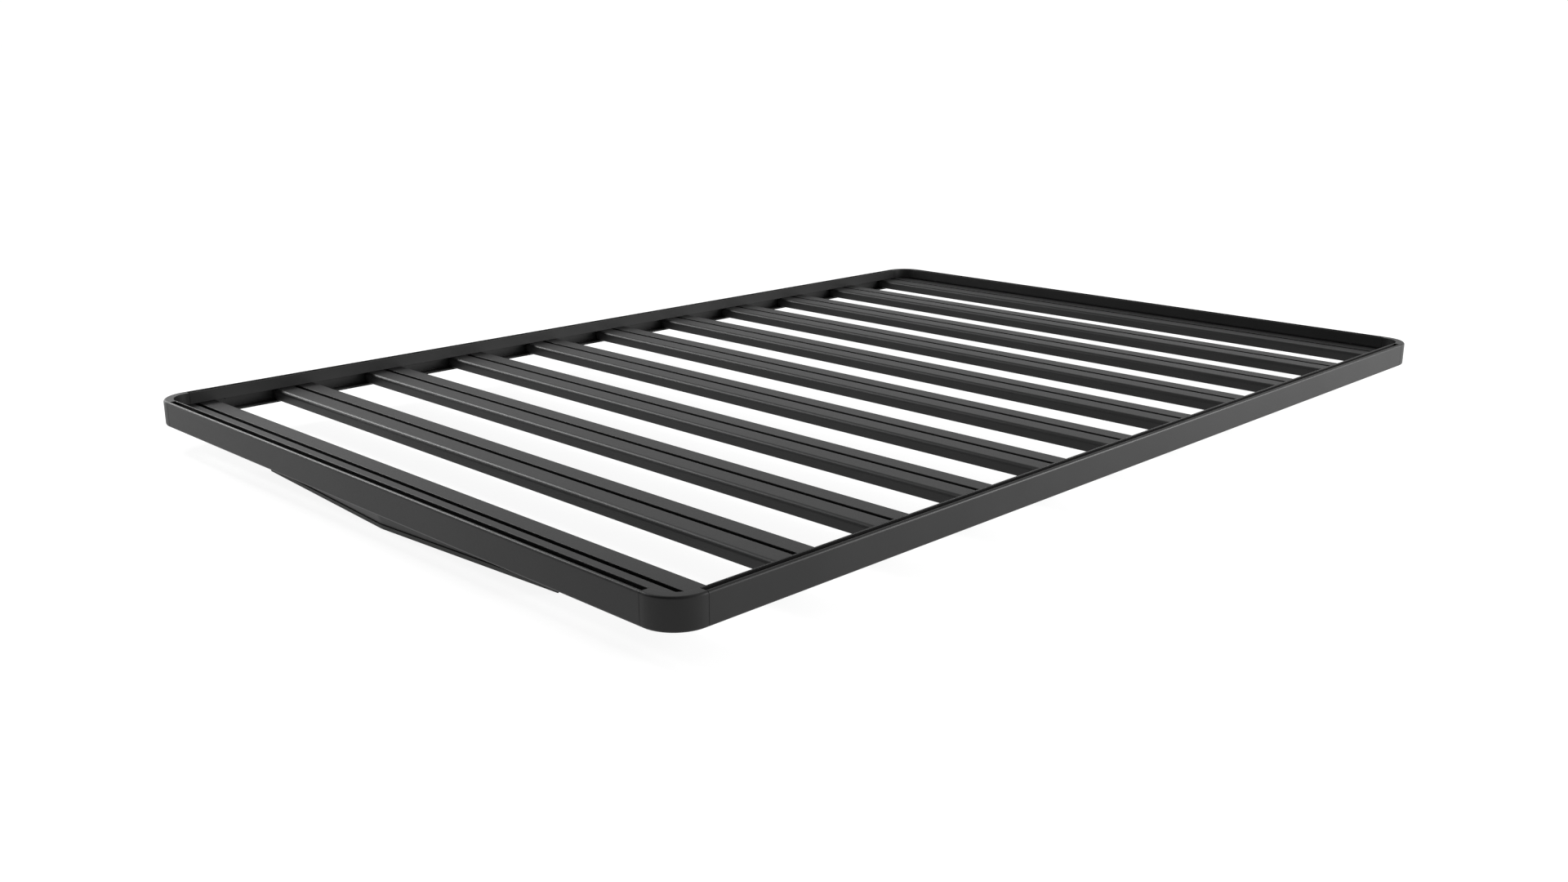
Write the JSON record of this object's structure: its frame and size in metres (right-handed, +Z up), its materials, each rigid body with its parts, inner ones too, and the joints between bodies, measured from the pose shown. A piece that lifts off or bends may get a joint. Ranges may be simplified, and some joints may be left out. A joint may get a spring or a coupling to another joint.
{
  "type": "roof platform rack",
  "caption": "Flat roof rack for a vehicle: a low perimeter frame with rounded corners, cross slats with bolt channels, and a wind deflector under its front end.",
  "frame": {"origin": "centre of the rack in plan, at the height of the wind deflector's lowest edge", "axes": "+X to the right as seen from the front end, +Y from the front end to the rear end along the length, +Z up"},
  "size_m": [1.465, 2.166, 0.0922],
  "materials": {
    "coated_aluminium": "fine-textured matt black powder coat over extruded, cast or sheet aluminium",
    "black_steel": "black-coated steel fasteners",
    "black_rubber": "matt black extruded rubber"
  },
  "bodies": {
    "root": {"left_rail": "coated_aluminium", "front_rail": "coated_aluminium", "right_rail": "coated_aluminium", "rear_rail": "coated_aluminium", "front_left_corner": "coated_aluminium", "front_left_corner_screw_a": "black_steel", "front_left_corner_screw_b": "black_steel", "front_right_corner": "coated_aluminium", "front_right_corner_screw_a": "black_steel", "front_right_corner_screw_b": "black_steel", "rear_right_corner": "coated_aluminium", "rear_right_corner_screw_a": "black_steel", "rear_right_corner_screw_b": "black_steel", "rear_left_corner": "coated_aluminium", "rear_left_corner_screw_a": "black_steel", "rear_left_corner_screw_b": "black_steel", "slat_01": "coated_aluminium", "slat_01_left_bolt": "black_steel", "slat_01_right_bolt": "black_steel", "slat_02": "coated_aluminium", "slat_02_left_bolt": "black_steel", "slat_02_right_bolt": "black_steel", "slat_03": "coated_aluminium", "slat_03_left_bolt": "black_steel", "slat_03_right_bolt": "black_steel", "slat_04": "coated_aluminium", "slat_04_left_bolt": "black_steel", "slat_04_right_bolt": "black_steel", "slat_05": "coated_aluminium", "slat_05_left_bolt": "black_steel", "slat_05_right_bolt": "black_steel", "slat_06": "coated_aluminium", "slat_06_left_bolt": "black_steel", "slat_06_right_bolt": "black_steel", "slat_07": "coated_aluminium", "slat_07_left_bolt": "black_steel", "slat_07_right_bolt": "black_steel", "slat_08": "coated_aluminium", "slat_08_left_bolt": "black_steel", "slat_08_right_bolt": "black_steel", "slat_09": "coated_aluminium", "slat_09_left_bolt": "black_steel", "slat_09_right_bolt": "black_steel", "slat_10": "coated_aluminium", "slat_10_left_bolt": "black_steel", "slat_10_right_bolt": "black_steel", "slat_11": "coated_aluminium", "slat_11_left_bolt": "black_steel", "slat_11_right_bolt": "black_steel", "deflector_plate": "coated_aluminium", "deflector_edge_trim": "black_rubber", "deflector_left_plate_bolt": "black_steel", "deflector_left_bracket": "coated_aluminium", "deflector_left_slat_bolt": "black_steel", "deflector_right_plate_bolt": "black_steel", "deflector_right_bracket": "coated_aluminium", "deflector_right_slat_bolt": "black_steel"}
  },
  "joints": []
}
